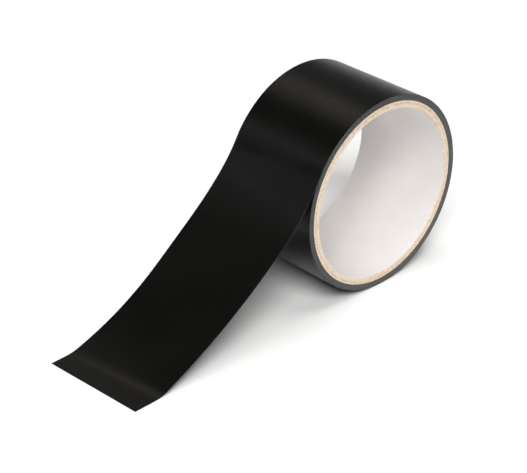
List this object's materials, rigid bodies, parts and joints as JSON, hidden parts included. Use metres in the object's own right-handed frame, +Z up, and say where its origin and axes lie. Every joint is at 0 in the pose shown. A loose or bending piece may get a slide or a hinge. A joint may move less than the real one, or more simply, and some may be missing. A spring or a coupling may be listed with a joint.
{
  "type": "duct tape roll",
  "caption": "Roll of cloth-backed adhesive tape on a cardboard core, standing on edge, with its loose end pulled out and stuck down flat.",
  "frame": {"origin": "middle of the core's bore, halfway across the width", "axes": "+Y along the roll's axis, +Z up, the loose end of the tape goes towards -X"},
  "size_m": [0.1874, 0.0505, 0.089],
  "materials": {
    "liner_paper": "matt white paper",
    "kraft_board": "cut edge of pale kraft board, fibrous",
    "tape_film": "black polyethylene film, satin, with the weave of the cloth showing through",
    "tape_scrim": "open woven cloth",
    "tape_adhesive": "tacky grey adhesive"
  },
  "bodies": {
    "outer_wrap": {"outer_wrap_film": "tape_film", "outer_wrap_scrim": "tape_scrim", "outer_wrap_adhesive": "tape_adhesive"},
    "roll": {"core_liner": "liner_paper", "core_ply_1": "kraft_board", "core_ply_2": "kraft_board", "core_ply_3": "kraft_board", "core_ply_4": "kraft_board", "wound_film": "tape_film", "wound_scrim": "tape_scrim", "wound_adhesive": "tape_adhesive"},
    "tail": {"tail_film": "tape_film", "tail_scrim": "tape_scrim", "tail_adhesive": "tape_adhesive"},
    "end_tab": {"end_tab_film": "tape_film", "end_tab_scrim": "tape_scrim", "end_tab_adhesive": "tape_adhesive"}
  },
  "joints": [
    {"name": "unwind", "type": "hinge", "parent": "outer_wrap", "child": "roll", "pos_m": [0, 0, 0], "axis": [0, 1, 0], "continuous": true},
    {"name": "tail_lift", "type": "hinge", "parent": "outer_wrap", "child": "tail", "pos_m": [-0.03764, 0, 0.02379], "axis": [0, 1, 0], "range_deg": [0, 120]},
    {"name": "end_lift", "type": "hinge", "parent": "tail", "child": "end_tab", "pos_m": [-0.12931, 0, -0.04439], "axis": [-0.1193, 0.9929, 0], "range_deg": [0, 120]}
  ]
}
